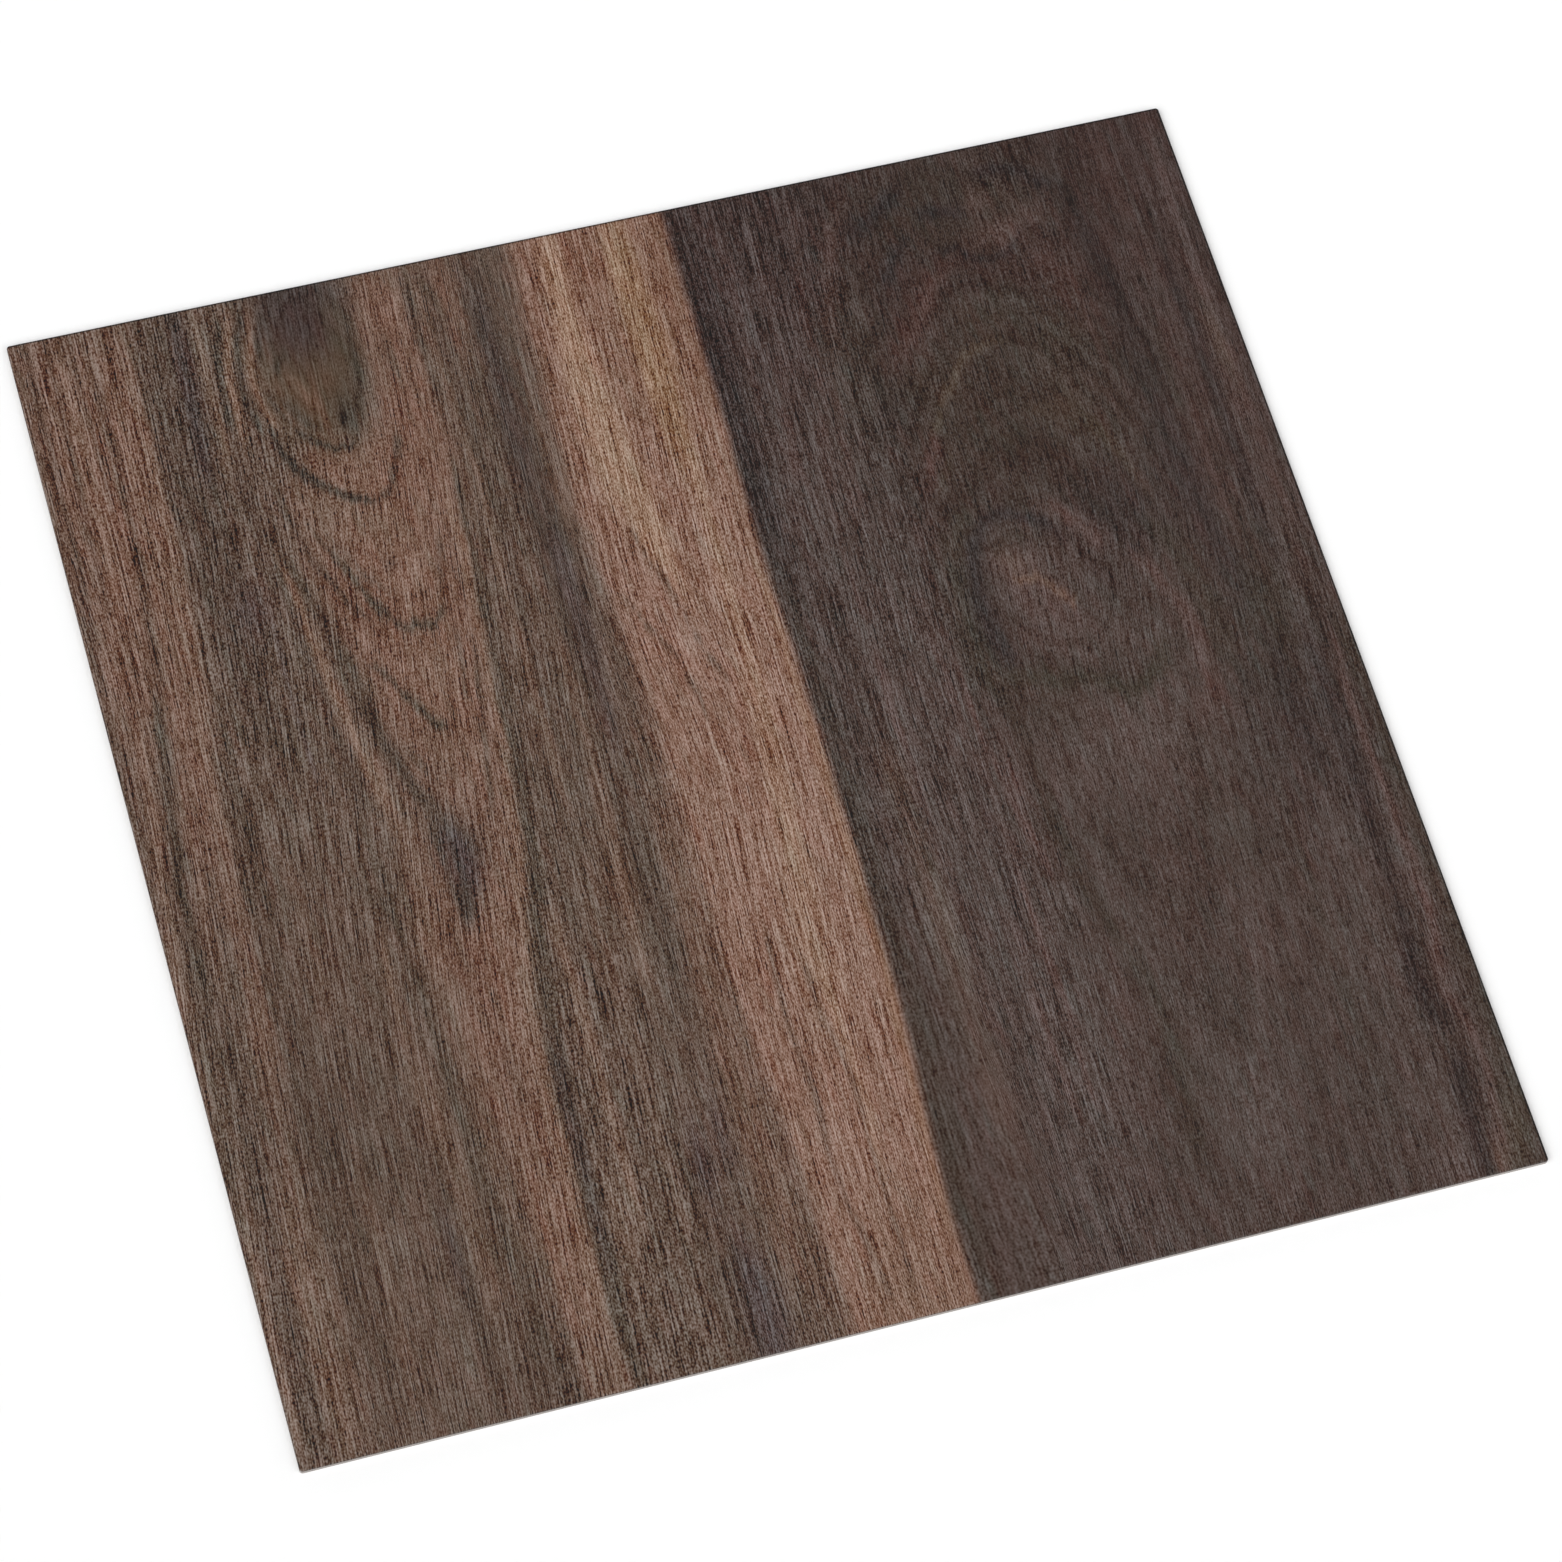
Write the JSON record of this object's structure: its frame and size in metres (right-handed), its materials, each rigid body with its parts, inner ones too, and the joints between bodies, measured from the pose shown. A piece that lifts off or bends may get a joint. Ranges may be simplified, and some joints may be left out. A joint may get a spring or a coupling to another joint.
{
  "type": "vinyl floor tile",
  "caption": "Thin square PVC floor tile with a dark wood-grain printed face, square cut edges and a plain grey back, glued down to cover a floor.",
  "frame": {"origin": "centre of the tile's underside", "axes": "+Z out of the printed wear face, +Y along the printed grain, +X across the grain"},
  "size_m": [0.3048, 0.3048, 0.0015],
  "materials": {
    "printed_vinyl": "satin"
  },
  "bodies": {
    "root": {"floor_tile": "printed_vinyl"}
  },
  "joints": []
}
